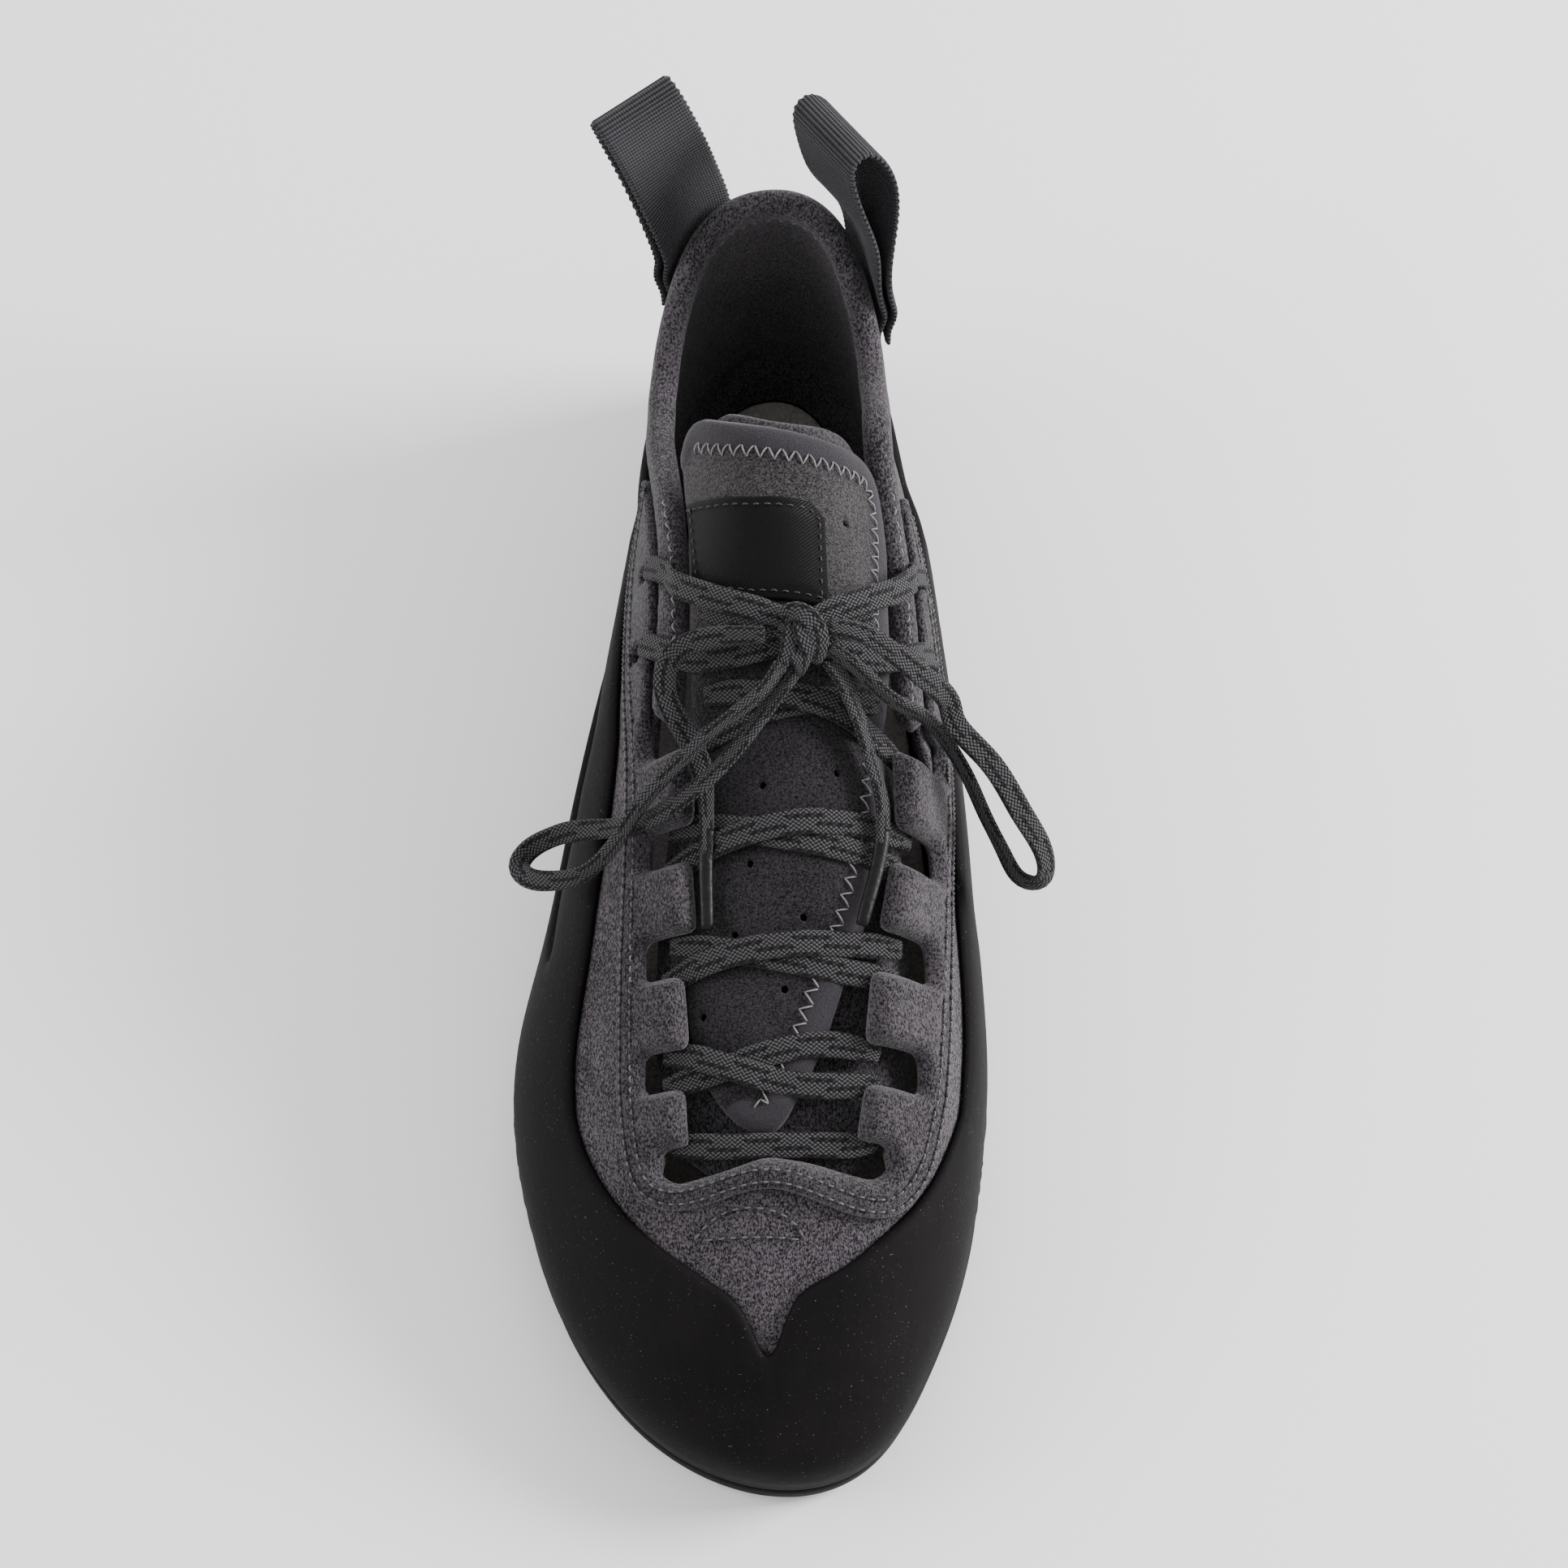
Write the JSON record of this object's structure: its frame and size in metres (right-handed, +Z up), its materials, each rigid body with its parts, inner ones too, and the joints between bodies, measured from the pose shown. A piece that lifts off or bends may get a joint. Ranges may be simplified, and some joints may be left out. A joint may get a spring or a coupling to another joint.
{
  "type": "climbing shoe",
  "caption": "Lace-up climbing shoe for the right foot: hollow suede upper with padded collar, rubber toe patch and rand, thin smooth sole, two heel pull loops and a tied lace.",
  "frame": {"origin": "centre of the heel's flat spot, on the plane that the shoe stands on", "axes": "+Z up, toe towards -Y, the big toe's side at +X"},
  "size_m": [0.1094, 0.266, 0.1148],
  "materials": {
    "suede": "short-napped dark grey suede with a faint plum tint",
    "label_twill": "fine black satin twill with a running-stitch border",
    "rand_rubber": "matte black sheet rubber",
    "sole_rubber": "smooth black sole rubber, matte",
    "insole_felt": "grey felted lining board",
    "webbing": "ribbed dark grey webbing",
    "lace_braid": "flat woven grey lace with dark flecks"
  },
  "bodies": {
    "root": {"upper": "suede", "lace_facing": "suede", "collar_roll": "suede", "tongue": "suede", "tongue_under": "suede", "tongue_label": "label_twill", "rand": "rand_rubber", "outsole": "sole_rubber", "insole": "insole_felt", "pull_loop_lateral": "webbing", "pull_loop_medial": "webbing", "lace_bar_1": "lace_braid", "lace_crossing_2": "lace_braid", "lace_crossing_3": "lace_braid", "lace_crossing_4": "lace_braid", "lace_crossing_5": "lace_braid", "lace_crossing_6": "lace_braid", "lace_top_run": "lace_braid", "lace_knot": "lace_braid", "lace_end_lateral": "lace_braid", "lace_end_medial": "lace_braid", "lace_loop_lateral": "lace_braid", "lace_loop_medial": "lace_braid"}
  },
  "joints": []
}
